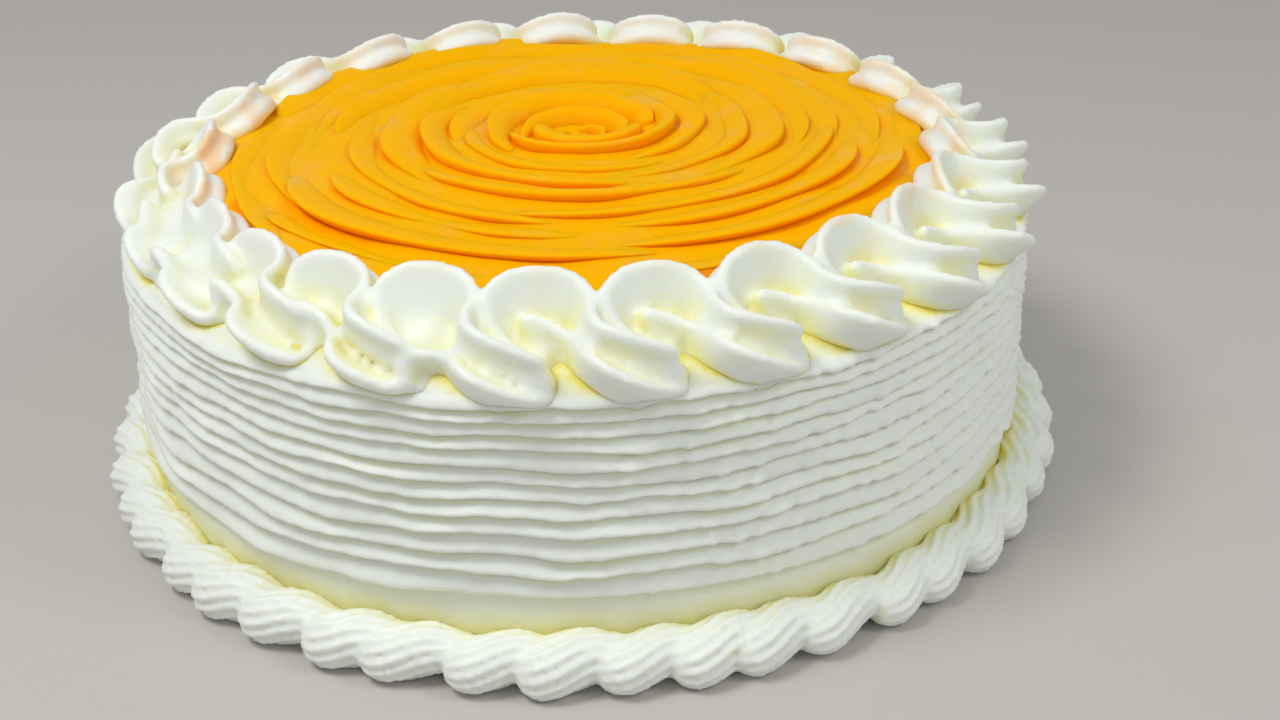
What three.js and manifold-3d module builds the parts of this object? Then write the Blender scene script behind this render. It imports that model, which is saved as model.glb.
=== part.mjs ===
// Mango cream cake: a round cake coated in whipped cream and combed round its side, with a border
// piped in looped waves over the rim, small shells round the foot, and a rose of mango slices.
// Millimetres, +Z up. The origin is the middle of the flat base, and the front faces -Y.

import * as THREE from "three";
import { mergeVertices } from "three/addons/utils/BufferGeometryUtils.js";
import Module from "manifold-3d";

const wasm = await Module();
wasm.setup();

const TURN = 2 * Math.PI;
const TOUCH_GAP = 0.3; // left between pieces that touch

// Cake and its coat of cream
const CAKE_RADIUS = 103; // over the comb ridges
const CAKE_TOP = 66.5;
const CAKE_SIDES = 48;
const FOOT_RADIUS = 101.5;
const COMB_BOTTOM = 16.5; // lowest groove
const COMB_TOP = 60; // highest groove
const COMB_RIDGES = 9;
const COMB_DEPTH = 1.7;
const COMB_EDGE = 0.25; // share of a ridge's height where its sharp lower edge stands out
const COMB_SWAY = 0.7; // rise and fall of the grooves round the cake
const COMB_SHEAR = 0.09; // radians that the sway turns by for each millimetre up
const FOOT_BULGE = 0.5; // of the smooth cream under the comb lines
const RIM_ROUNDING = 6;
const RIM_SHOULDER = 1.8; // inwards and down from the rim's corner to the middle of its rounding

// Border over the rim: one strand from a large star tip, looped out and back
const LOOPS = 23;
const RIM_PATH_CENTRE = new THREE.Vector3(0, -2.2, 0); // piped by eye, nearer the front
const RIM_PATH_RADIUS = 92.8;
const LOOP_REACH = 5.6; // in and out from the path's radius
const LOOP_SLANT = 7.5; // along the ring, so that each wave leans over the one before
const RIM_PATH_HEIGHT = 66.9;
const LOOP_LIFT = 2.2; // outward stroke over the stroke that comes back
const LOOP_TILT = 4.2; // inner end over the outer end
const STRAND_RADIUS = 8.8;
const STAR_POINTS = 6;
const STAR_DEPTH = 0.36; // share of the radius that the grooves cut in
const STAR_ROLL = THREE.MathUtils.degToRad(10); // first star point over the strand's outer side
const PIPING_START = THREE.MathUtils.degToRad(-23.5); // from the front, seen from above
const PIPING_DRIFT = THREE.MathUtils.degToRad(4.3); // waves grow longer round the back
const DRIFT_FROM = 0.5; // radians past the start where they are shortest
const PHASE_STEP = 0.01; // radians, to find the strand's heading
const STROKE_FROM = THREE.MathUtils.degToRad(72);
const STROKE_TO = THREE.MathUtils.degToRad(288);
const STROKE_STEPS = 6;
const STROKE_END = 0.3; // share of the strand's radius left at a stroke's ends
const LOOP_UNEVEN = 0.07; // share of a loop's reach
const STRAND_UNEVEN = 0.05; // share of the strand's radius
const LIFT_UNEVEN = 0.5;
const BED_RADIUS = 93.5; // ring of the strokes that come back, under the others
const BED_HALF_WIDTH = 10;
const BED_HALF_HEIGHT = 6;
const BED_SIDES = 6;
const ROSE_ROOM = 0.5; // the border is cut back this far round the rose

// Border round the foot: shells from a small star tip
const SHELLS = 46;
const SHELL_STATIONS = [0, 0.2, 0.64]; // along each shell
const SHELL_WIDTHS = [0.74, 1, 0.97]; // thick head, thin tail
const FOOT_PATH_RADIUS = 105.3;
const SHELL_RADIUS = 6.4;
const SHELL_HEIGHT = 6; // centre of the strand
const SHELL_POINTS = 5;
const SHELL_GROOVES = 0.08; // share of the radius that ridges and grooves add and take
const SHELL_UNEVEN = 0.03;

// Rose of mango slices, each a curved blade that leans outwards
const ROSE_CENTRE = new THREE.Vector2(1.6, 2.6);
const ROSE_RADIUS = 83.2;
const ROSE_EDGE_TOP = 73.4;
const ROSE_CROWN = 4.4; // rise of the rose from its edge to its middle
const ROSE_CUP = 4.5; // the innermost curls stand lower
const CUP_RADIUS = 20;
const ROSE_UNEVEN = 0.4;
const RING_SLICES = [6, 5, 5, 4, 4, 3, 3, 2, 2, 1]; // from the edge inwards
const RING_STEP = 8.5;
const RING_TURN = 2.5; // radians from one ring's first slice to the next ring's
const SLICE_THICKNESS = 4.5; // in the middle
const SLICE_END = 1.9; // thickness at its ends
const SLICE_SPIRAL = 4.7; // from a slice's inner end to its outer end
const FULL_SLICE_RADIUS = 18; // slices nearer the middle are cut smaller
const SLICE_SHIFT = 0.015; // unevenness of the slices' places round a ring, in slices
const SLICE_OVERLAP = 0.19; // share of its length that lies behind the next slice
const EDGE_LEAN = 10; // outermost slices, from foot to tip
const CENTRE_LEAN = 1.5;
const SLICE_STEPS = 6;
const SLICE_SHOULDER = 0.72; // share of a slice's height where its edge starts to narrow
const SLICE_BEVEL = 0.25; // share of its thickness taken off each side of the edge
const BLUNT_END = 0.3; // share of its height that a slice loses at its ends
const LONE_CURL = 0.92; // share of a turn that the innermost slice covers
const LEAST_RADIUS = 0.4;

const CREAM = new THREE.MeshStandardMaterial({ color: 0xf1f2e6, roughness: 0.55, metalness: 0 });
const MANGO = new THREE.MeshStandardMaterial({ color: 0xf8ac10, roughness: 0.25, metalness: 0 });

// An even-looking draw from -1 to 1 that is the same in every run.
function uneven(index, kind) {
  const wave = Math.sin(index * 12.9898 + kind * 78.233) * 43758.5453;
  return 2 * (wave - Math.floor(wave)) - 1;
}

// Moves every vertex of a geometry to place(vertex) and closes its seams.
function reshape(geometry, place) {
  geometry.deleteAttribute("normal");
  geometry.deleteAttribute("uv");
  const position = geometry.getAttribute("position");
  const vertex = new THREE.Vector3();
  for (let i = 0; i < position.count; i += 1) {
    vertex.fromBufferAttribute(position, i);
    const moved = place(vertex);
    position.setXYZ(i, moved.x, moved.y, moved.z);
  }
  return mergeVertices(geometry, 1e-4);
}

// A closed mesh as a solid that can be joined and cut.
function toSolid(geometry) {
  return new wasm.Manifold(
    new wasm.Mesh({
      numProp: 3,
      vertProperties: new Float32Array(geometry.getAttribute("position").array),
      triVerts: new Uint32Array(geometry.index.array),
    }),
  );
}

function toGeometry(solid) {
  const mesh = solid.getMesh();
  const geometry = new THREE.BufferGeometry();
  geometry.setAttribute("position", new THREE.BufferAttribute(mesh.vertProperties, 3));
  geometry.setIndex(new THREE.BufferAttribute(mesh.triVerts, 1));
  geometry.computeVertexNormals();
  return geometry;
}

// A point at an angle from the front, anticlockwise seen from above.
function onRing(radius, angle, height) {
  return new THREE.Vector3(radius * Math.sin(angle), -radius * Math.cos(angle), height);
}

// The coated cake turned from its profile, made larger by a clearance where another piece is cut to it.
function cakeGeometry(clearance) {
  const ridge = (COMB_TOP - COMB_BOTTOM) / COMB_RIDGES;
  const groove = CAKE_RADIUS - COMB_DEPTH;
  const profile = [new THREE.Vector2(0, -clearance), new THREE.Vector2(FOOT_RADIUS, -clearance)];
  profile.push(new THREE.Vector2(FOOT_RADIUS + FOOT_BULGE, COMB_BOTTOM / 2));
  for (let i = 0; i < COMB_RIDGES; i += 1) {
    const bottom = COMB_BOTTOM + i * ridge;
    profile.push(new THREE.Vector2(groove, bottom));
    profile.push(new THREE.Vector2(CAKE_RADIUS, bottom + COMB_EDGE * ridge));
  }
  profile.push(new THREE.Vector2(groove, COMB_TOP));
  profile.push(new THREE.Vector2(groove - RIM_SHOULDER, CAKE_TOP - RIM_SHOULDER));
  profile.push(new THREE.Vector2(groove - RIM_ROUNDING, CAKE_TOP));
  profile.push(new THREE.Vector2(0, CAKE_TOP));
  const turned = new THREE.LatheGeometry(profile, CAKE_SIDES);
  return reshape(turned, (vertex) => {
    const radius = Math.hypot(vertex.x, vertex.z);
    const angle = Math.atan2(vertex.x, vertex.z);
    const combed = vertex.y > COMB_BOTTOM - 1 && vertex.y < COMB_TOP + 1;
    const sway = combed ? COMB_SWAY * Math.sin(2 * angle + vertex.y * COMB_SHEAR) : 0;
    const outwards = radius > 1 ? clearance : 0;
    const upwards = vertex.y > COMB_TOP ? clearance : 0;
    return onRing(radius + outwards, angle, vertex.y + sway + upwards);
  });
}

// The angle round the cake that the piping has reached after a number of loops.
function pipingAngle(loops) {
  const share = loops / LOOPS;
  return PIPING_START + TURN * share - PIPING_DRIFT * Math.sin(TURN * share - DRIFT_FROM);
}

// The middle of the strand: phase grows by one turn for each loop.
function strandMiddle(phase) {
  const loop = Math.floor(phase / TURN);
  const size = 1 + LOOP_UNEVEN * uneven(loop, 1);
  const radius = RIM_PATH_RADIUS - size * LOOP_REACH * Math.sin(phase);
  const along = (size * LOOP_SLANT * Math.sin(phase)) / RIM_PATH_RADIUS;
  const height = RIM_PATH_HEIGHT - LOOP_LIFT * Math.cos(phase) + LOOP_TILT * Math.sin(phase);
  const lifted = height + LIFT_UNEVEN * uneven(loop, 2);
  return onRing(radius, pipingAngle(phase / TURN) - along, lifted).add(RIM_PATH_CENTRE);
}

// One outward stroke of the looped strand, with its star ridges and rounded ends.
function strokeSolid(loop) {
  const blank = new THREE.CylinderGeometry(1, 1, 1, 2 * STAR_POINTS, STROKE_STEPS);
  const size = STRAND_RADIUS * (1 + STRAND_UNEVEN * uneven(loop, 3));
  const placed = reshape(blank, (vertex) => {
    const share = 0.5 - 0.5 * Math.cos(Math.PI * (0.5 + vertex.y));
    const around = Math.atan2(vertex.z, vertex.x);
    const phase = loop * TURN + STROKE_FROM + (STROKE_TO - STROKE_FROM) * share;
    const middle = strandMiddle(phase);
    const heading = strandMiddle(phase + PHASE_STEP).sub(middle).normalize();
    const outer = new THREE.Vector3().crossVectors(heading, new THREE.Vector3(0, 0, 1)).normalize();
    const over = new THREE.Vector3().crossVectors(outer, heading);
    const ridged = 1 - STAR_DEPTH * Math.abs(Math.sin((STAR_POINTS / 2) * around));
    const rounded = Math.sqrt(1 + STROKE_END ** 2 - (2 * share - 1) ** 4);
    const reach = size * ridged * rounded * Math.hypot(vertex.x, vertex.z);
    middle.addScaledVector(outer, reach * Math.cos(around + STAR_ROLL));
    return middle.addScaledVector(over, reach * Math.sin(around + STAR_ROLL));
  });
  return toSolid(placed);
}

function topBorder() {
  const strokes = Array.from({ length: LOOPS }, (_, loop) => strokeSolid(loop));
  const room = ROSE_RADIUS + ROSE_ROOM;
  const roseRoom = new THREE.CylinderGeometry(room, room, ROSE_EDGE_TOP, CAKE_SIDES);
  roseRoom.rotateX(Math.PI / 2);
  roseRoom.translate(ROSE_CENTRE.x, ROSE_CENTRE.y, ROSE_EDGE_TOP / 2 + TOUCH_GAP);
  const bed = new THREE.TorusGeometry(BED_RADIUS, BED_HALF_WIDTH, BED_SIDES, CAKE_SIDES);
  bed.scale(1, 1, BED_HALF_HEIGHT / BED_HALF_WIDTH);
  bed.translate(RIM_PATH_CENTRE.x, RIM_PATH_CENTRE.y, CAKE_TOP);
  const bedSolid = toSolid(reshape(bed, (vertex) => vertex));
  const joined = strokes.reduce((border, stroke) => border.add(stroke), bedSolid);
  const seated = joined.subtract(toSolid(cakeGeometry(TOUCH_GAP)));
  return seated.subtract(toSolid(reshape(roseRoom, (vertex) => vertex)));
}

// Shells round the foot: one closed ring, thick at each shell's head and thin at its tail.
function bottomBorder() {
  const steps = SHELLS * SHELL_STATIONS.length;
  const wall = FOOT_RADIUS + FOOT_BULGE + TOUCH_GAP;
  const blank = new THREE.TorusGeometry(2, 1, 2 * SHELL_POINTS, steps);
  const ring = reshape(blank, (vertex) => {
    const turn = (Math.atan2(vertex.y, vertex.x) + TURN) % TURN;
    const around = Math.atan2(vertex.z, Math.hypot(vertex.x, vertex.y) - 2);
    const step = Math.round((turn / TURN) * steps) % steps;
    const shell = Math.floor(step / SHELL_STATIONS.length);
    const station = step % SHELL_STATIONS.length;
    const angle = ((shell + SHELL_STATIONS[station]) * TURN) / SHELLS;
    const ridged = 1 + SHELL_GROOVES * Math.cos(SHELL_POINTS * around);
    const size = SHELL_RADIUS * (1 + SHELL_UNEVEN * uneven(shell, 4));
    const reach = size * SHELL_WIDTHS[station] * ridged;
    const height = Math.max(0, SHELL_HEIGHT + reach * Math.sin(around));
    const radius = FOOT_PATH_RADIUS + reach * Math.cos(around);
    return onRing(Math.max(wall, radius), angle, height);
  });
  return toSolid(ring);
}

// One slice: a curved blade from a foot on the cream to a rounded edge further out.
function sliceGeometry(ring, slice) {
  const tip = ROSE_RADIUS - ring * RING_STEP;
  const outwardness = tip / ROSE_RADIUS;
  const cut = Math.min(1, tip / FULL_SLICE_RADIUS);
  const lean = cut * (CENTRE_LEAN + (EDGE_LEAN - CENTRE_LEAN) * outwardness);
  const cup = ROSE_CUP * Math.max(0, 1 - tip / CUP_RADIUS);
  const crown = ROSE_CROWN * (1 - outwardness ** 2);
  const top = ROSE_EDGE_TOP + crown - cup + ROSE_UNEVEN * uneven(ring * 7 + slice, 5);
  const foot = CAKE_TOP + TOUCH_GAP;
  const count = RING_SLICES[ring];
  const arc = (TURN / count) * (count > 1 ? 1 + SLICE_OVERLAP : LONE_CURL);
  const start = (TURN / count) * (slice + SLICE_SHIFT * uneven(slice, ring)) + ring * RING_TURN;
  const blank = new THREE.BoxGeometry(1, 1, 1, SLICE_STEPS, 1, 2);
  return reshape(blank, (vertex) => {
    const share = vertex.x + 0.5;
    const rise = vertex.z + 0.5;
    const side = vertex.y + 0.5;
    const blunt = 1 - BLUNT_END * Math.abs(2 * share - 1) ** 5;
    const level = foot + (top - foot) * blunt * (rise === 0.5 ? SLICE_SHOULDER : rise);
    const thickness = cut * (SLICE_END + (SLICE_THICKNESS - SLICE_END) * Math.sin(Math.PI * share));
    const crest = rise === 1 ? SLICE_BEVEL * thickness : 0;
    const outerFace = tip - cut * SLICE_SPIRAL * (1 - share) - (lean * (top - level)) / (top - foot);
    const radius = outerFace - crest - (thickness - 2 * crest) * side;
    const placed = onRing(Math.max(radius, LEAST_RADIUS), start + arc * share, level);
    return placed.add(new THREE.Vector3(ROSE_CENTRE.x, ROSE_CENTRE.y, 0));
  });
}

function named(name, geometry, material) {
  const mesh = new THREE.Mesh(geometry, material);
  mesh.name = name;
  return mesh;
}

const cake = new THREE.Group();
cake.add(named("iced_cake", toGeometry(toSolid(cakeGeometry(0))), CREAM));
cake.add(named("top_border", toGeometry(topBorder()), CREAM));
cake.add(named("bottom_border", toGeometry(bottomBorder()), CREAM));
RING_SLICES.forEach((count, ring) => {
  for (let slice = 0; slice < count; slice += 1) {
    const name = `mango_ring_${ring + 1}_slice_${slice + 1}`;
    cake.add(named(name, toGeometry(toSolid(sliceGeometry(ring, slice))), MANGO));
  }
});

export default cake;
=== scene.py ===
"""Mango cream cake: whipped cream combed round the side, a border piped in looped waves over the rim,
small shells round the foot, and a rose of mango slices under a clear glaze.

Shapes are worked out in millimetres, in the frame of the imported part, and become metres in make_piece.
Angles run anticlockwise seen from above, from the front, which faces -Y.
"""

import math

import bmesh
import bpy
import numpy as np
from mathutils import Matrix, Vector, noise
from mathutils.bvhtree import BVHTree


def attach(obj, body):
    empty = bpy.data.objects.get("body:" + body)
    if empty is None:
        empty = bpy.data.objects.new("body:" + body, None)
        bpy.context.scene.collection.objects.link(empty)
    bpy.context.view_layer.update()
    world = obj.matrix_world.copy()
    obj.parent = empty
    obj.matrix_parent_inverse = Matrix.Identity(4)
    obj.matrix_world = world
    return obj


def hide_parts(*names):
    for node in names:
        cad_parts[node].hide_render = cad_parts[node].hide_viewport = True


MM = 0.001
TURN = 2 * math.pi

# The cake and its coat of cream
CAKE_RADIUS = 103
CAKE_TOP = 66.5
SHOULDER_REACH = 19  # how far the shoulder draws in under the border
SHOULDER_LOW = 60
SHOULDER_CURVE = 1.6
SIDE_COLUMNS = 720
FOOT_ROWS = 9  # of points under the lowest groove
BAND_ROWS = 10  # and from the uppermost groove to the rim
FOOT_BAND_OUT = 0.7  # how far the smooth bands below and above the combing stand out
TOP_BAND_OUT = 0.8
COMB_BOTTOM = 16.5
COMB_TOP = 61
COMB_RIDGES = 12
COMB_DEPTH = 2.9
COMB_SPREAD = 0.3  # ridges are wider near the foot by this share and narrower near the rim
COMB_SWAY = 0.7
COMB_SHEAR = 0.09
COMB_WAVES = 1.1
WAVE_SIZE = 26
SWAY_STARTS = (COMB_BOTTOM - 4, COMB_BOTTOM + 4)
SWAY_ENDS = (COMB_TOP - 2, COMB_TOP + 3)
GROOVE_WANDER = 0.4  # of a ridge, up or down
WANDER_SIZE = 22
WANDER_ROW = 60.0  # apart in the noise, so that each groove strays its own way
FINE_WANDER = 0.4
FINE_WANDER_SIZE = 6
DEPTH_MIDDLE = 0.85  # of the grooves, as a share of COMB_DEPTH
DEPTH_UNEVEN = 0.4
LEAST_DEPTH = 0.45  # of the narrowest grooves, and how much deeper each millimetre of width makes them
DEPTH_BY_WIDTH = 0.12
DEPTH_SIZE = 18
FLAKE = 0.75  # how rough the torn edges of the ridges are
FLAKE_SIZE = 1.9
FLAKE_ROW = 40
LEAST_TORN = 0.35  # share of it at the left, where the edges are smoothest
TORN_FROM_LEFT = (-0.3, 0.5)
NICKS = (0.25, 0.5)  # where an edge is roughest, the groove above it is partly filled
NICK_FILL = 0.5
SKIN_ROUGH = 0.12
SKIN_SIZE = 4
# A ridge from its sharp lower edge up to the next groove, in shares of the way
RIDGE_SHARES = (0, 0.08, 0.16, 0.24, 0.33, 0.45, 0.6, 0.75, 0.9)
RIDGE_EDGE = (-0.06, 0.32)
RIDGE_BACK = (0.3, 1)
RIDGE_BACK_FALL = 0.65
RIDGE_END = (0.9, 1)
RIDGE_END_FALL = 0.6
FLAKE_STARTS = (0.05, 0.2)
FLAKE_ENDS = (0.3, 0.7)

# The border over the rim: one strand from a large star tip
LOOPS = 23
RIM_PATH_CENTRE = (0, -2.2)
RIM_PATH_RADIUS = 92
# The two ridges along its top, as waves: middle value, swing and its lag, second swing and its lag
RIDGE_OUT_RADIUS = (94.5, 7.6, -173, 1.9, 8)
RIDGE_OUT_SHIFT = (2.9, 5.0, -121, 2.7, 162)
RIDGE_OUT_HEIGHT = (66.6, 4.5, 60, 2.4, -23)
RIDGE_IN_RADIUS = (91.3, 8.6, -126, 1.0, -12)
RIDGE_IN_SHIFT = (0, 5.5, -158, 4.5, 174)
RIDGE_IN_HEIGHT = (73, 4.7, 80, 2, 0)
OUTER_RIDGE = (RIDGE_OUT_RADIUS, RIDGE_OUT_SHIFT, RIDGE_OUT_HEIGHT)
INNER_RIDGE = (RIDGE_IN_RADIUS, RIDGE_IN_SHIFT, RIDGE_IN_HEIGHT)
CORE_DEPTH = 6.4  # of the valley's bed under the line between the two ridges
BED_RADIUS = 2.5
BED_OUT = 0.12  # how far the bed starts from the outer ridge, as a share of the valley
BED_IN = 0.3
RIDGE_ROUND = 1.3
ROOT_HEIGHT = 59  # of the strand's underside, sunk in the cream
ROOT_IN = 6  # how far in from the middle of the waves it runs
ROOT_SWING = 0.4  # share of the ridges' waves that the underside follows
ROOT_RADIUS = 4
LOWER_RIDGE_DROP = 4.4
LOWER_RIDGE_OUT = -7.5
CURL_BULGE = 3.5  # where the strand turns back its lower ridge shows as small curls
CURL_LAG = math.radians(-15)
CURL_STRETCH = (0.1, 0.9)
CURL_OUT = 1.3
CURL_ON = 0.5
PLEAT_OUT = 1.2  # a second, smaller curl lies under the first, further on
PLEAT_ON = 0.6
PLEAT_DROP = 6.5
INNER_SIDE_DROP = 5
INNER_SIDE_IN = 2.2
INNER_SIDE_RADIUS = 2.8
NO_BLADE_WAY = (0.3, 0.2, 0.9)  # a direction that no blade of the strand takes
POD_SIDES = 8
POD_STEPS = 6
# Stretches of the border, as the middle and the spread of each in degrees
CALM_LEFT = (-65, 28)  # where the waves are flattest
CALMINGS = (0.8, 0.5, 0.6)  # of the radius, the shift and the height
CALM_OUT = 3  # the ridges lie further apart there
CALM_IN = 7
FIRST_STROKE = (-21, 7.5)  # where the piping was begun, with a wide smooth face
FIRST_STROKE_OUT = 4.5
FIRST_STROKE_DOWN = 2.5
DOME = 1.6  # how far the inner ridge rises on each loop
DOME_LAG = math.radians(116)
DOME_SINK = 0.2
HIGHER_DOMES = (180, 60)  # at the back
HIGHER_BY = 1
PIPING_START = math.radians(-36.7)
PIPING_DRIFT = math.radians(5.8)
DRIFT_FROM = 0.68
LOOP_UNEVEN = 0.08
LIFT_UNEVEN = 0.5
LOOP_CHANGE = (0.3, 0.7)  # the part of the way back where one loop's size changes to the next
STRAND_STEPS = 48  # along each loop
STRAND_VOXEL = 0.93
STRAND_SOFTENING = 2

# The border round the foot: shells from a small star tip
SHELLS = 46
FOOT_PATH_RADIUS = 105.5
SHELL_RADIUS = 6.3
SHELL_HEIGHT = 5.6
SHELL_LOWEST = 0.1
SHELL_LENGTH = 1.55  # in spacings, so that each tail lies under the next head
SHELL_STRAY = 0.12
SHELL_UNEVEN = 0.06
SHELL_RIDGES = 13
SHELL_GROOVE = 0.42
GROOVE_SHARPNESS = 1.2
SHELL_TWIST = 0.9  # radians from the head to the tail
TWIST_MIDDLE = 0.3
SHELL_SWAY = 1.3
SWAY_LENGTH = 0.8
SWAY_DROP = 0.5
SHELL_BLUNTNESS = 0.22
HEAD_LENGTH = 0.2
HEAD_GIRTH = 0.86
TAIL_START = 0.35
TAIL_TAPER = 0.34
SHELL_STEPS = 30
SIDES_EACH_RIDGE = 6
SHELL_VOXEL = 0.69
SHELL_SOFTENING = 1

# The rose of mango slices
ROSE_CENTRE = (1.6, 2.6)
ROSE_RADIUS = 83.2
ROSE_FOOT = CAKE_TOP + 0.3
ROSE_EDGE_TOP = 73.4
ROSE_CROWN = 4.4
ROSE_CUP = 4.5
CUP_RADIUS = 20
ROSE_UNEVEN = 0.9
RING_SLICES = (6, 5, 5, 4, 4, 3, 3, 2, 2, 1)
RING_STEP = 8.5
RING_TURN = 2.5
RING_WIDTHS = (1.15, 0.95, 1.25, 0.9, 1.25, 0.85, 1.1, 0.95, 1, 1)
RING_STRAYS = (0, 0.8, -0.9, 1.2, -0.6, 0.9, -0.7, 0.4, 0, 0)
SLICE_THICKNESS = 6.4
SLICE_END = 4.6
SLICE_UNEVEN = 0.25
OUTER_WIDER = 0.35  # the outermost slices lie flatter and show more of their width
SLICE_SLOPE = 1.9  # of its top, down to the inner side
SLICE_SPIRAL = 4.7
SLICE_SHIFT = 0.015
SLICE_OVERLAP = 0.19
SLICE_WOBBLE = 1.1
TOP_WOBBLE = 0.5
SLICE_STRAY = 1.3
FULL_SLICE_RADIUS = 18
EDGE_LEAN = 10
CENTRE_LEAN = 1.5
BLUNT_END = 0.12
TOP_CURVE = 0.6  # how squarely the top, the sides and the ends are cut: 1 is round
SIDE_CURVE = 0.75
END_CURVE = 0.16
TAPER_CURVE = 0.6
LONE_CURL = 0.92
LEAST_RADIUS = 0.4
SLICE_STEPS = 64
SLICE_SIDES = 28

# The glaze and the fruit between the slices
GLAZE_FOOT = 65
GLAZE_DEPTH = 2.7  # under the tips of the slices
GLAZE_INSET = 4  # from the tip of the rose to where the glaze turns down
GLAZE_EDGE_DROP = 2.5
GLAZE_REACH = 84  # of its edge from the middle of the border, against the cream
GLAZE_POOL = 0.8  # how much higher it lies towards the front
POOL_PLACE = (0, 60)
POOL_STARTS = (0.25, 0.6)
GLAZE_ROUGH = 0.8
GLAZE_ROUGH_SIZE = 16
GLAZE_ROWS = 60
GLAZE_COLUMNS = 240

# Juice on the cream, and painted shade in the hollows
JUICE_REACH = 7
JUICE_SHARE = 0.32
JUICE_PATCH = 5
JUICE_PATCHES = (-0.1, 0.3)
SMEAR = (-88, 13)  # where the juice runs further over the cream, at the left
CLEAN_BACK = (180, 55)  # where the cream is clean
CREAM_SPAN = 0.014  # in metres, how far off cream or fruit still casts painted shade
MANGO_SPAN = 0.008
RAY_START = 0.0002
RAYS = 12
COMB_SHADE = 0.45  # share of the painted shade that shows in the grooves
SHOULDER_SHADE = 2  # share of the painted shade on the shoulder under the border, for its shadow
RIM_SHADE = 1.25  # share of the painted shade in the border itself
FOOT_SHADE = 0.18  # painted shade added low on the cake's side
FOOT_SHADE_FADE = (12, 24)
GLAZE_SHADE = 0.1  # painted shade added on the fruit between the slices
# Colours from the open surface to the deepest painted shade in a hollow, each at its share of painted
# shade
CREAM_AND_SHADE_COLOURS = ((0.1, (0.87, 0.91, 0.85)), (0.42, (0.87, 0.87, 0.6)), (0.8, (0.88, 0.79, 0.2)))
MANGO_AND_SHADE_COLOURS = ((0.08, (1, 0.45, 0)), (0.45, (1, 0.4, 0)), (0.9, (1, 0.31, 0)))

# The camera: its place in millimetres, and its aim in degrees
CAMERA_PLACE = (3.5, -367.4, 203.2)
CAMERA_YAW = -1.608
CAMERA_PITCH = -27.023
CAMERA_ROLL = -1.313
CAMERA_FOCAL = 47.81
SENSOR_WIDTH = 36

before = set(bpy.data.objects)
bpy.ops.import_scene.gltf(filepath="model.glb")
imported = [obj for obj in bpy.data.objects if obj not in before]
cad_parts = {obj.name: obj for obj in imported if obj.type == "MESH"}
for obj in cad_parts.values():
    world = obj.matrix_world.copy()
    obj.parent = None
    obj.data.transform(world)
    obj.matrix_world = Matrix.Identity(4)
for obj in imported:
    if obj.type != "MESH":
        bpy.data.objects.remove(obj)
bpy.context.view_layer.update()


def uneven(index, kind):
    """An even-looking draw from -1 to 1, the same in every run."""
    wave = np.sin(np.asarray(index, float) * 12.9898 + kind * 78.233) * 43758.5453
    return 2 * (wave - np.floor(wave)) - 1


def ease(low, high, value):
    """0 below low, 1 above high, and a smooth rise between them."""
    share = np.clip((value - low) / (high - low), 0, 1)
    return share * share * (3 - 2 * share)


def rough(points, size, seed):
    """Smooth noise from about -1 to 1 over points, with bumps of a size in millimetres."""
    shift = Vector((seed * 17.3, seed * 5.1, seed * 11.7))
    return np.array([noise.noise(Vector(point) / size + shift) for point in points])


def on_ring(radius, angle, height):
    """Points at an angle from the front, as rows of x, y and z."""
    return np.stack([radius * np.sin(angle), -radius * np.cos(angle), height + 0 * angle], -1)


def points_of(mesh):
    """The mesh's points as rows of x, y and z."""
    points = np.empty(len(mesh.vertices) * 3)
    mesh.vertices.foreach_get("co", points)
    return points.reshape(-1, 3)


def place_points(mesh, points):
    """Moves the mesh's points to these rows of x, y and z."""
    mesh.vertices.foreach_set("co", points.ravel())
    mesh.update()


def mesh_from(blank):
    """A mesh with the faces of a bmesh, which is then freed."""
    mesh = bpy.data.meshes.new("blank")
    blank.to_mesh(mesh)
    blank.free()
    return mesh


def blank_sheet(columns, rows):
    """A flat sheet to be rolled into a turned form, with the two shares of the way across it."""
    blank = bmesh.new()
    bmesh.ops.create_grid(blank, x_segments=columns, y_segments=rows, size=1)
    mesh = mesh_from(blank)
    x, y, _ = points_of(mesh).T
    return mesh, 0.5 + x / 2, 0.5 + y / 2


def close_form(mesh, points):
    """Puts the points in place, joins the edges that meet and turns the faces outwards."""
    place_points(mesh, points)
    form = bmesh.new()
    form.from_mesh(mesh)
    bmesh.ops.remove_doubles(form, verts=form.verts, dist=1e-4)
    bmesh.ops.recalc_face_normals(form, faces=form.faces)
    if form.calc_volume(signed=True) < 0:
        bmesh.ops.reverse_faces(form, faces=form.faces)
    form.to_mesh(mesh)
    form.free()
    return mesh


def blank_pod(sides, steps):
    """A closed ball whose poles are the two ends of a long form, to be reshaped."""
    blank = bmesh.new()
    bmesh.ops.create_uvsphere(blank, u_segments=sides, v_segments=steps, radius=1)
    return mesh_from(blank)


def pod_places(mesh):
    """The share of the way from end to end, the angle round and the reach of each point of a pod."""
    x, y, z = points_of(mesh).T
    return 0.5 - np.arcsin(np.clip(z, -1, 1)) / math.pi, np.arctan2(y, x), np.hypot(x, y)


def remeshed(mesh, voxel, rounds):
    """The mesh as one skin of even faces, with its overlaps joined and its creases softened."""
    carrier = bpy.data.objects.new("carrier", mesh)
    bpy.context.scene.collection.objects.link(carrier)
    remesh = carrier.modifiers.new("skin", "REMESH")
    remesh.mode = "VOXEL"
    remesh.voxel_size = voxel
    smooth = carrier.modifiers.new("soften", "SMOOTH")
    smooth.factor = 0.5
    smooth.iterations = rounds
    graph = bpy.context.evaluated_depsgraph_get()
    skin = bpy.data.meshes.new_from_object(carrier.evaluated_get(graph))
    bpy.data.objects.remove(carrier)
    return skin


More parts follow.
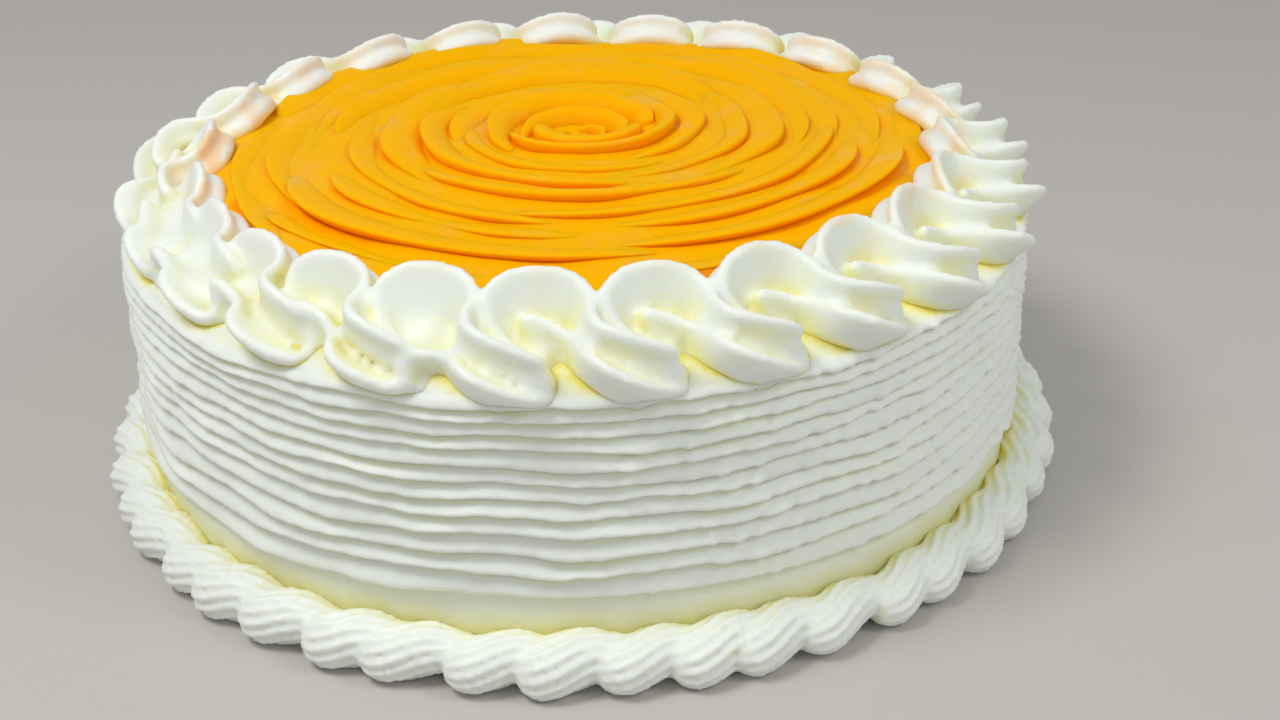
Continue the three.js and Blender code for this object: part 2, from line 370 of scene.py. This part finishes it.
def make_piece(name, mesh, material, node):
    """A finished piece in metres that stands for one CAD node, where it has one."""
    mesh.transform(Matrix.Scale(MM, 4))
    mesh.name = name
    mesh.materials.clear()
    mesh.materials.append(material)
    mesh.polygons.foreach_set("use_smooth", [True] * len(mesh.polygons))
    piece = bpy.data.objects.new(name, mesh)
    bpy.context.scene.collection.objects.link(piece)
    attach(piece, "root")
    if node:
        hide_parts(node)
    return piece


# The cake


def groove_height(ridge):
    """The height of a place counted in ridges from the lowest groove."""
    share = ridge / COMB_RIDGES
    return COMB_BOTTOM + (COMB_TOP - COMB_BOTTOM) * (share + COMB_SPREAD * share * (1 - share))


def side_profile():
    """The heights of the side's rows of points, from the foot to the rim."""
    foot = np.linspace(0, COMB_BOTTOM, FOOT_ROWS + 1)[:-1]
    ridges = [groove_height(i + share) for i in range(COMB_RIDGES) for share in RIDGE_SHARES]
    band = np.linspace(COMB_TOP, CAKE_TOP, BAND_ROWS)
    return np.concatenate([foot, ridges, band])


def ridge_form(share):
    """How far a ridge stands out, from its sharp lower edge to where it meets the next groove."""
    edge = ease(*RIDGE_EDGE, share)
    back = 1 - RIDGE_BACK_FALL * ease(*RIDGE_BACK, share)
    return edge * back * (1 - RIDGE_END_FALL * ease(*RIDGE_END, share))


def groove_wander(angle, groove):
    """How far each groove strays from its own height, in shares of a ridge."""
    along = on_ring(CAKE_RADIUS + 0 * angle, angle, WANDER_ROW * groove)
    return rough(along, WANDER_SIZE, 2) + FINE_WANDER * rough(along, FINE_WANDER_SIZE, 6)


def combed_cake():
    """The cake as one turned form, with its side combed in ridges that sway, tear and wander."""
    side_rows = side_profile()
    row_heights = np.concatenate([[0], side_rows, [CAKE_TOP]])
    mesh, across, up = blank_sheet(SIDE_COLUMNS, len(row_heights) - 1)
    angle = TURN * across
    row = np.rint(up * (len(row_heights) - 1)).astype(int)
    height = row_heights[row]
    near = on_ring(CAKE_RADIUS + 0 * angle, angle, height)
    side = (row > 0) & (row <= len(side_rows))

    comb_rows = COMB_RIDGES * len(RIDGE_SHARES)
    step = row - 1 - FOOT_ROWS
    combed = (step >= 0) & (step < comb_rows)
    ridge = np.clip(step, 0, comb_rows - 1) // len(RIDGE_SHARES)
    share = np.array(RIDGE_SHARES)[step % len(RIDGE_SHARES)]
    pitch = groove_height(ridge + 1) - groove_height(ridge)

    wander = groove_wander(angle, ridge) * (1 - share) + groove_wander(angle, ridge + 1) * share
    waves = rough(near, WAVE_SIZE, 1) * COMB_WAVES
    sway = COMB_SWAY * np.sin(2 * angle + height * COMB_SHEAR) + waves + GROOVE_WANDER * pitch * wander
    sway *= ease(*SWAY_STARTS, height) * (1 - ease(*SWAY_ENDS, height))

    torn = LEAST_TORN + (1 - LEAST_TORN) * ease(*TORN_FROM_LEFT, np.sin(angle))
    flake = torn * rough(on_ring(CAKE_RADIUS + 0 * angle, angle, FLAKE_ROW * ridge), FLAKE_SIZE, 3)
    unevenness = DEPTH_MIDDLE + DEPTH_UNEVEN * rough(near * (1, 1, 2), DEPTH_SIZE, 4)
    depth = COMB_DEPTH * unevenness * (LEAST_DEPTH + DEPTH_BY_WIDTH * pitch)
    form = ridge_form(share)
    relief = depth * form + FLAKE * flake * ease(*FLAKE_STARTS, share) * (1 - ease(*FLAKE_ENDS, share))
    relief += ease(*NICKS, flake) * depth * NICK_FILL * (1 - form)
    relief = np.where(combed, relief, np.where(height < COMB_BOTTOM, FOOT_BAND_OUT, TOP_BAND_OUT))

    rise = np.clip((height - SHOULDER_LOW) / (CAKE_TOP - SHOULDER_LOW), 0, 1)
    shoulder = SHOULDER_REACH * rise**SHOULDER_CURVE
    skin = SKIN_ROUGH * rough(near, SKIN_SIZE, 5)
    out = np.where(side, CAKE_RADIUS - COMB_DEPTH + relief + skin - shoulder, 0)
    return close_form(mesh, on_ring(out, angle, height + np.where(side, sway, 0)))


# The border over the rim


def loop_draw(phase, kind):
    """A draw for each loop that holds over its outward stroke and changes smoothly on its way back."""
    loops = np.asarray(phase) / TURN - 0.5
    before = np.floor(loops)
    blend = ease(*LOOP_CHANGE, loops - before)
    return uneven(before % LOOPS, kind) * (1 - blend) + uneven((before + 1) % LOOPS, kind) * blend


def piping_angle(loops):
    """The angle that the piping has reached after a number of loops, closer together on one side."""
    share = loops / LOOPS
    return PIPING_START + TURN * share - PIPING_DRIFT * np.sin(TURN * share - DRIFT_FROM)


def wave(line, phase, strength):
    """A ridge's value along the loops, as a first and a second swing about its middle."""
    middle, swing, lag, second_swing, second_lag = line
    first = swing * np.cos(phase - math.radians(lag))
    return middle + strength * (first + second_swing * np.cos(2 * phase - math.radians(second_lag)))


def nearness(way, stretch):
    """1 in the middle of a stretch of the ring, and falling off to its sides."""
    middle, spread = stretch
    away = (way - math.radians(middle) + math.pi) % TURN - math.pi
    return np.exp(-((away / math.radians(spread)) ** 2))


def ridge_line(ridge, phase):
    """The points of one of the strand's two upper ridges along its waves."""
    way = piping_angle(phase / TURN)
    calm = nearness(way, CALM_LEFT)
    first = nearness(way, FIRST_STROKE) if ridge is OUTER_RIDGE else np.zeros(len(phase))
    wider = calm * (CALM_OUT if ridge is OUTER_RIDGE else -CALM_IN)
    calm = np.maximum(calm, first)
    size = 1 + LOOP_UNEVEN * loop_draw(phase, 1)
    strengths = [size * (1 - less * calm) for less in CALMINGS]
    radius, shift, height = [wave(line, phase, strength) for line, strength in zip(ridge, strengths)]
    radius = radius + wider + FIRST_STROKE_OUT * first
    height = height - FIRST_STROKE_DOWN * first + LIFT_UNEVEN * loop_draw(phase, 2)
    if ridge is INNER_RIDGE:
        dome = DOME + HIGHER_BY * nearness(way, HIGHER_DOMES)
        height = height + dome * (np.cos(2 * phase - DOME_LAG) - DOME_SINK)
    return on_ring(radius, way + shift / RIM_PATH_RADIUS, height) + (*RIM_PATH_CENTRE, 0)


def unit(rows):
    """The rows at length 1."""
    return rows / np.linalg.norm(rows, axis=-1, keepdims=True)


def blank_pods(count):
    """Copies of one small ball, each to be drawn out between two places."""
    carrier = bpy.data.objects.new("carrier", blank_pod(POD_SIDES, POD_STEPS))
    bpy.context.scene.collection.objects.link(carrier)
    copies = carrier.modifiers.new("copies", "ARRAY")
    copies.count = count
    copies.use_relative_offset = False
    ball = points_of(carrier.data)
    graph = bpy.context.evaluated_depsgraph_get()
    mesh = bpy.data.meshes.new_from_object(carrier.evaluated_get(graph))
    bpy.data.objects.remove(carrier)
    return mesh, ball


def draw_out(ball, near, near_radius, far, far_radius):
    """For each pair of places the points of a ball drawn out from the one to the other."""
    axis = unit(far - near)
    side = unit(np.cross(axis, NO_BLADE_WAY))
    third = np.cross(axis, side)
    points = []
    for x, y, z in ball:
        place, radius = (far, far_radius) if z > 0.01 else (near, near_radius)
        points.append(place + radius * (x * side + y * third + z * axis))
    return np.stack(points, 1).reshape(-1, 3)


def rim_border():
    """One strand, as blades that run from its core to each ridge all along the waves."""
    phase = np.arange(LOOPS * STRAND_STEPS) * TURN / STRAND_STEPS
    way = piping_angle(phase / TURN)
    outwards = on_ring(1 + 0 * way, way, 0)
    onwards = np.cross((0, 0, 1), outwards)
    outer = ridge_line(OUTER_RIDGE, phase)
    inner = ridge_line(INNER_RIDGE, phase)
    between = (outer + inner) / 2
    ring = RIM_PATH_RADIUS * outwards + (*RIM_PATH_CENTRE, ROOT_HEIGHT)
    root = ring + ROOT_SWING * (between - ring) * (1, 1, 0) - ROOT_IN * outwards
    down = CORE_DEPTH * unit(root - between)
    bed_out = outer + down + BED_OUT * (inner - outer)
    bed_in = inner + down - BED_IN * (inner - outer)
    curl = CURL_BULGE * ease(*CURL_STRETCH, np.cos(phase - CURL_LAG))[:, None]
    curled = curl * (CURL_OUT * outwards + CURL_ON * onwards)
    lower = outer + LOWER_RIDGE_OUT * outwards + curled - (0, 0, LOWER_RIDGE_DROP)
    pleat = bed_out + curl * (PLEAT_OUT * outwards + PLEAT_ON * onwards) * (1, 1, 0)
    pleat[:, 2] = np.minimum(pleat[:, 2], outer[:, 2] - PLEAT_DROP)
    inside = inner - INNER_SIDE_IN * outwards - (0, 0, INNER_SIDE_DROP)
    blades = [
        (bed_out, BED_RADIUS, outer, RIDGE_ROUND),
        (bed_in, BED_RADIUS, inner, RIDGE_ROUND),
        (bed_out, BED_RADIUS, bed_in, BED_RADIUS),
        (bed_out, BED_RADIUS, lower, RIDGE_ROUND),
        (bed_out, BED_RADIUS, pleat, RIDGE_ROUND),
        (bed_in, BED_RADIUS, inside, INNER_SIDE_RADIUS),
        (bed_out, BED_RADIUS, root, ROOT_RADIUS),
        (bed_in, BED_RADIUS, root, ROOT_RADIUS),
    ]
    mesh, ball = blank_pods(len(phase) * len(blades))
    points = [draw_out(ball, *blade) for blade in blades]
    place_points(mesh, np.concatenate(points))
    return remeshed(mesh, STRAND_VOXEL, STRAND_SOFTENING)


# The border round the foot


def shell_points(shell, share, around, reach):
    """One shell: a ridged head that tapers to a tail, with its ridges twisted a little."""
    size = SHELL_RADIUS * (1 + SHELL_UNEVEN * uneven(shell, 4))
    share = 0.5 - 0.5 * np.cos(math.pi * share)
    along = (shell + SHELL_STRAY * uneven(shell, 6) + SHELL_LENGTH * share) * TURN / SHELLS
    head = HEAD_GIRTH + (1 - HEAD_GIRTH) * ease(0, HEAD_LENGTH, share)
    tail = 1 - TAIL_TAPER * ease(TAIL_START, 1, share)
    girth = size * reach**SHELL_BLUNTNESS * head * tail
    turned = SHELL_RIDGES / 2 * (around - SHELL_TWIST * (share - TWIST_MIDDLE))
    ridged = 1 - SHELL_GROOVE * (1 - np.abs(np.sin(turned))) ** GROOVE_SHARPNESS
    sway = SHELL_SWAY * np.cos(math.pi * ease(0, SWAY_LENGTH, share))
    height = SHELL_HEIGHT - SWAY_DROP * sway
    radius = FOOT_PATH_RADIUS + sway + girth * ridged * np.cos(around)
    return on_ring(radius, along, np.maximum(SHELL_LOWEST, height + girth * ridged * np.sin(around)))


def foot_border():
    """All the shells round the foot as one skin."""
    shells = bmesh.new()
    for shell in range(SHELLS):
        mesh = blank_pod(SHELL_RIDGES * SIDES_EACH_RIDGE, SHELL_STEPS)
        share, around, reach = pod_places(mesh)
        place_points(mesh, shell_points(shell, share, around, reach))
        shells.from_mesh(mesh)
        bpy.data.meshes.remove(mesh)
    bmesh.ops.recalc_face_normals(shells, faces=shells.faces)
    return remeshed(mesh_from(shells), SHELL_VOXEL, SHELL_SOFTENING)


# The rose


def squared(value, power):
    """A wave from -1 to 1 with flatter tops, the more so the smaller the power."""
    return np.sign(value) * np.abs(value) ** power


def slice_wobble(angle, ring, number):
    """The unevenness of a hand-cut slice along its length."""
    return np.sin(3 * angle + 2.1 * ring + number) + 0.6 * np.sin(8 * angle + 4.7 * ring + 2 * number)


def slice_mesh(ring, number):
    """One curved slice on edge, leaning outwards, from the foot of the rose up to its own top."""
    tip = ROSE_RADIUS - ring * RING_STEP
    outwardness = tip / ROSE_RADIUS
    cut = min(1, tip / FULL_SLICE_RADIUS)
    lean = cut * (CENTRE_LEAN + (EDGE_LEAN - CENTRE_LEAN) * outwardness)
    cup = ROSE_CUP * max(0, 1 - tip / CUP_RADIUS)
    crown = ROSE_CROWN * (1 - outwardness**2)
    top = ROSE_EDGE_TOP + crown - cup + ROSE_UNEVEN * float(uneven(ring * 7 + number, 5))
    count = RING_SLICES[ring]
    arc = TURN / count * (1 + SLICE_OVERLAP if count > 1 else LONE_CURL)
    start = TURN / count * (number + SLICE_SHIFT * float(uneven(number, ring))) + ring * RING_TURN

    mesh = blank_pod(SLICE_SIDES, SLICE_STEPS)
    share, around, reach = pod_places(mesh)
    share = 0.5 - 0.5 * np.cos(math.pi * share)
    angle = start + arc * share
    wobble = slice_wobble(angle, ring, number)
    ends = reach**END_CURVE
    rise = 0.5 + 0.5 * squared(np.sin(around), TOP_CURVE) * ends
    side = 0.5 - 0.5 * squared(np.cos(around), SIDE_CURVE) * ends
    blunt = 1 - BLUNT_END * np.abs(2 * share - 1) ** 5
    tall = top + TOP_WOBBLE * wobble * outwardness - SLICE_SLOPE * cut * side - ROSE_FOOT
    level = ROSE_FOOT + tall * blunt * rise

    thickness = cut * (SLICE_END + (SLICE_THICKNESS - SLICE_END) * np.sin(math.pi * share) ** TAPER_CURVE)
    wider = 1 + SLICE_UNEVEN * float(uneven(ring * 5 + number, 8)) + OUTER_WIDER * outwardness**8
    thickness *= RING_WIDTHS[ring] * wider
    stray = RING_STRAYS[ring]
    if ring > 0:
        stray += SLICE_STRAY * float(uneven(number + 3 * ring, 9))
    outer_face = tip - cut * SLICE_SPIRAL * (1 - share) - lean * (top - level) / (top - ROSE_FOOT)
    outer_face = outer_face + outwardness * (SLICE_WOBBLE * wobble + stray)
    radius = np.maximum(outer_face - thickness * side, LEAST_RADIUS)
    return close_form(mesh, on_ring(radius, angle, level) + (*ROSE_CENTRE, 0))


def glaze_mesh():
    """Clear glaze and fruit that fill the rose between its slices."""
    radii = np.linspace(0, ROSE_RADIUS - GLAZE_INSET, GLAZE_ROWS)
    tops = ROSE_EDGE_TOP + ROSE_CROWN * (1 - (radii / ROSE_RADIUS) ** 2) - GLAZE_DEPTH
    tops = tops - ROSE_CUP * np.maximum(0, 1 - radii / CUP_RADIUS)
    edge = [(GLAZE_REACH, tops[-1] - GLAZE_EDGE_DROP), (GLAZE_REACH, GLAZE_FOOT), (0, GLAZE_FOOT)]
    outline = np.array([*zip(radii, tops), *edge])
    mesh, across, down = blank_sheet(GLAZE_COLUMNS, len(outline) - 1)
    row = np.rint(down * (len(outline) - 1)).astype(int)
    radius, height = outline[row].T
    way = TURN * across
    points = on_ring(radius, way, height)
    pool = GLAZE_POOL * nearness(way, POOL_PLACE) * ease(*POOL_STARTS, radius / ROSE_RADIUS)
    lift = pool + GLAZE_ROUGH * rough(points, GLAZE_ROUGH_SIZE, 7)
    points[:, 2] += lift * ease(GLAZE_FOOT, GLAZE_FOOT + 2, height)
    points[:, :2] += np.where(row[:, None] < len(radii), ROSE_CENTRE, RIM_PATH_CENTRE)
    return close_form(mesh, points)


# Finishes


def principled(name):
    """A new material with its nodes and its links."""
    material = bpy.data.materials.new(name)
    material.use_nodes = True
    return material, material.node_tree.nodes, material.node_tree.links


def painted_shade_ramp(nodes, links, stops):
    """A ramp of colours over the painted shade attribute."""
    painted_shade = nodes.new("ShaderNodeAttribute")
    painted_shade.attribute_name = "painted_shade"
    ramp = nodes.new("ShaderNodeValToRGB")
    ramp.color_ramp.elements.new(0.5)
    for element, (position, colour) in zip(ramp.color_ramp.elements, stops):
        element.position = position
        element.color = (*colour, 1)
    links.new(painted_shade.outputs["Fac"], ramp.inputs["Fac"])
    return ramp


def cream_material():
    """Whipped cream: white, with yellow painted shade in its hollows, and stained by the juice."""
    material, nodes, links = principled("whipped_cream")
    shader = nodes["Principled BSDF"]
    shader.inputs["Roughness"].default_value = 0.5
    shader.inputs["Subsurface Weight"].default_value = 0.6
    shader.inputs["Subsurface Radius"].default_value = (1.0, 0.9, 0.55)
    shader.inputs["Subsurface Scale"].default_value = 0.002
    ramp = painted_shade_ramp(nodes, links, CREAM_AND_SHADE_COLOURS)
    juice = nodes.new("ShaderNodeAttribute")
    juice.attribute_name = "juice"
    stain = nodes.new("ShaderNodeMix")
    stain.data_type = "RGBA"
    stain.inputs["B"].default_value = (0.95, 0.5, 0.12, 1)
    links.new(juice.outputs["Fac"], stain.inputs["Factor"])
    links.new(ramp.outputs["Color"], stain.inputs["A"])
    links.new(stain.outputs["Result"], shader.inputs["Base Color"])
    fine_bumps(nodes, links, 900, 0.12)
    return material


def fine_bumps(nodes, links, scale, strength):
    """Grain too fine for the mesh."""
    place = nodes.new("ShaderNodeTexCoord")
    grain = nodes.new("ShaderNodeTexNoise")
    grain.inputs["Scale"].default_value = scale
    grain.inputs["Detail"].default_value = 3
    bump = nodes.new("ShaderNodeBump")
    bump.inputs["Strength"].default_value = strength
    bump.inputs["Distance"].default_value = 0.0006
    links.new(place.outputs["Object"], grain.inputs["Vector"])
    links.new(grain.outputs["Fac"], bump.inputs["Height"])
    links.new(bump.outputs["Normal"], nodes["Principled BSDF"].inputs["Normal"])


def mango_material():
    """Ripe mango, with deeper orange painted shade in its hollows, and wet patches of glaze."""
    material, nodes, links = principled("glazed_mango")
    shader = nodes["Principled BSDF"]
    shader.inputs["Roughness"].default_value = 0.4
    shader.inputs["Specular IOR Level"].default_value = 0.02
    shader.inputs["Coat Roughness"].default_value = 0.07
    place = nodes.new("ShaderNodeTexCoord")
    patches = nodes.new("ShaderNodeTexNoise")
    patches.inputs["Scale"].default_value = 90
    wet = nodes.new("ShaderNodeMapRange")
    wet.inputs["From Min"].default_value = 0.55
    wet.inputs["From Max"].default_value = 0.7
    wet.inputs["To Max"].default_value = 0.4
    links.new(place.outputs["Object"], patches.inputs["Vector"])
    links.new(patches.outputs["Fac"], wet.inputs["Value"])
    links.new(wet.outputs["Result"], shader.inputs["Coat Weight"])
    fine_bumps(nodes, links, 260, 0.35)
    shader.inputs["Subsurface Weight"].default_value = 0.5
    shader.inputs["Subsurface Radius"].default_value = (1.0, 0.45, 0.05)
    shader.inputs["Subsurface Scale"].default_value = 0.003
    ramp = painted_shade_ramp(nodes, links, MANGO_AND_SHADE_COLOURS)
    links.new(ramp.outputs["Color"], shader.inputs["Base Color"])
    return material


def set_marks(piece, name, values):
    """Gives each point of a piece a value."""
    marks = piece.data.attributes.new(name, "FLOAT", "POINT")
    marks.data.foreach_set("value", values)


def mark_more(piece, part, shares):
    """Takes part of the painted shade of a piece's points, and adds to it."""
    marks = piece.data.attributes["painted_shade"]
    values = np.empty(len(piece.data.vertices))
    marks.data.foreach_get("value", values)
    marks.data.foreach_set("value", part * values + shares)


def mark_juice(piece):
    """Mango juice on the cream that faces the rose, in patches."""
    points = points_of(piece.data) / MM
    reach = np.hypot(points[:, 0] - ROSE_CENTRE[0], points[:, 1] - ROSE_CENTRE[1])
    way = np.arctan2(points[:, 0], -points[:, 1])
    smear = nearness(way, SMEAR)
    near = 1 - ease(ROSE_RADIUS, ROSE_RADIUS + JUICE_REACH * (1 + smear), reach)
    streaks = ease(*JUICE_PATCHES, rough(points * (1, 0.5, 1), JUICE_PATCH, 8))
    share = JUICE_SHARE * (1 + smear) * (1 - nearness(way, CLEAN_BACK))
    set_marks(piece, "juice", share * near * streaks)


def sky_aims(rays):
    """Directions spread evenly over the half of the sky about +Z, more of them near it."""
    golden = math.pi * (3 - math.sqrt(5))
    aims = []
    for i in range(rays):
        lift = math.sqrt(1 - (i + 0.5) / rays)
        flat = math.sqrt(1 - lift * lift)
        aims.append(Vector((flat * math.cos(i * golden), flat * math.sin(i * golden), lift)))
    return aims


def mark_painted_shade(pieces, others, span, rays):
    """Gives each point of the pieces painted shade: the share of open sky that near cream and fruit hide
    from it.
    """
    points, faces = [], []
    for body in pieces + others:
        first = len(points)
        points += [vertex.co[:] for vertex in body.data.vertices]
        faces += [tuple(first + i for i in face.vertices) for face in body.data.polygons]
    tree = BVHTree.FromPolygons(points, faces)
    aims = sky_aims(rays)
    for piece in pieces:
        hidden = []
        for vertex in piece.data.vertices:
            normal = vertex.normal
            turn = Vector((0, 0, 1)).rotation_difference(normal)
            start = vertex.co + normal * RAY_START
            hits = 0.0
            for aim in aims:
                distance = tree.ray_cast(start, turn @ aim, span)[3]
                if distance is not None:
                    hits += 1 - distance / span
            hidden.append(hits / rays)
        set_marks(piece, "painted_shade", hidden)


# Scene


def stage():
    """A plain floor for the render alone."""
    floor = bmesh.new()
    bmesh.ops.create_grid(floor, x_segments=1, y_segments=1, size=4)
    mesh = mesh_from(floor)
    material, nodes, _ = principled("pale_floor")
    nodes["Principled BSDF"].inputs["Base Color"].default_value = (0.55, 0.52, 0.49, 1)
    nodes["Principled BSDF"].inputs["Roughness"].default_value = 0.6
    mesh.materials.append(material)
    surface = bpy.data.objects.new("floor", mesh)
    bpy.context.scene.collection.objects.link(surface)


def soft_light(name, place, aim, size, power, colour):
    """A square lamp turned towards a place."""
    light = bpy.data.lights.new(name, "AREA")
    light.size = size
    light.energy = power
    light.color = colour
    lamp = bpy.data.objects.new(name, light)
    bpy.context.scene.collection.objects.link(lamp)
    lamp.location = place
    lamp.rotation_euler = (Vector(aim) - Vector(place)).to_track_quat("-Z", "Y").to_euler()


def studio():
    """Soft light from the upper left, from the right and from the front, in a pale room."""
    soft_light("key", (-0.4, -0.22, 0.85), (0, 0, 0.05), 0.32, 4.2, (1, 0.995, 0.97))
    soft_light("side", (0.62, -0.35, 0.7), (0, 0, 0.04), 0.25, 1.7, (1, 1, 0.97))
    soft_light("front", (0.1, -0.9, 0.4), (0, 0, 0.03), 0.9, 0.7, (0.97, 0.99, 1))
    world = bpy.data.worlds.new("room")
    bpy.context.scene.world = world
    world.use_nodes = True
    background = world.node_tree.nodes["Background"]
    background.inputs["Color"].default_value = (0.97, 0.99, 1, 1)
    background.inputs["Strength"].default_value = 0.4
    bpy.context.scene.view_settings.view_transform = "Standard"


def camera():
    """The view of the photograph."""
    eye = bpy.data.cameras.new("camera")
    eye.lens = CAMERA_FOCAL
    eye.sensor_width = SENSOR_WIDTH
    holder = bpy.data.objects.new("camera", eye)
    bpy.context.scene.collection.objects.link(holder)
    place = Matrix.Translation(Vector(CAMERA_PLACE) * MM)
    yaw = Matrix.Rotation(math.radians(CAMERA_YAW), 4, "Z")
    pitch = Matrix.Rotation(math.radians(90 + CAMERA_PITCH), 4, "X")
    roll = Matrix.Rotation(math.radians(CAMERA_ROLL), 4, "Z")
    holder.matrix_world = place @ yaw @ pitch @ roll
    bpy.context.scene.camera = holder


def build():
    """All the pieces, with their marks of juice and of painted shade."""
    cream = cream_material()
    mango = mango_material()
    cake = make_piece("combed_cake", combed_cake(), cream, "iced_cake")
    rim = make_piece("rim_piping", rim_border(), cream, "top_border")
    foot = make_piece("foot_piping", foot_border(), cream, "bottom_border")
    glaze = make_piece("mango_glaze", glaze_mesh(), mango, None)
    rose = [glaze]
    for ring, count in enumerate(RING_SLICES):
        for number in range(count):
            name = f"rose_slice_{ring + 1}_{number + 1}"
            node = f"mango_ring_{ring + 1}_slice_{number + 1}"
            rose.append(make_piece(name, slice_mesh(ring, number), mango, node))

    rays = RAYS
    # painted shade from nearby cream and fruit, baked into each point
    mark_painted_shade([cake, rim, foot], rose, CREAM_SPAN, rays)
    mark_painted_shade(rose, [], MANGO_SPAN, rays)
    mark_juice(rim)
    # painted shade: deeper orange on the glaze between the slices
    mark_more(glaze, 1, GLAZE_SHADE)
    # painted shade in the border, made stronger
    mark_more(rim, RIM_SHADE, 0)
    # painted shade on the cake: weaker in the grooves, stronger on the shoulder under the border, and
    # more low on the side
    height = points_of(cake.data)[:, 2] / MM
    under_border = ease(COMB_TOP - 2, COMB_TOP + 1, height)
    part = COMB_SHADE + (SHOULDER_SHADE - COMB_SHADE) * under_border
    mark_more(cake, part, FOOT_SHADE * (1 - ease(*FOOT_SHADE_FADE, height)))


camera()
studio()
stage()
build()
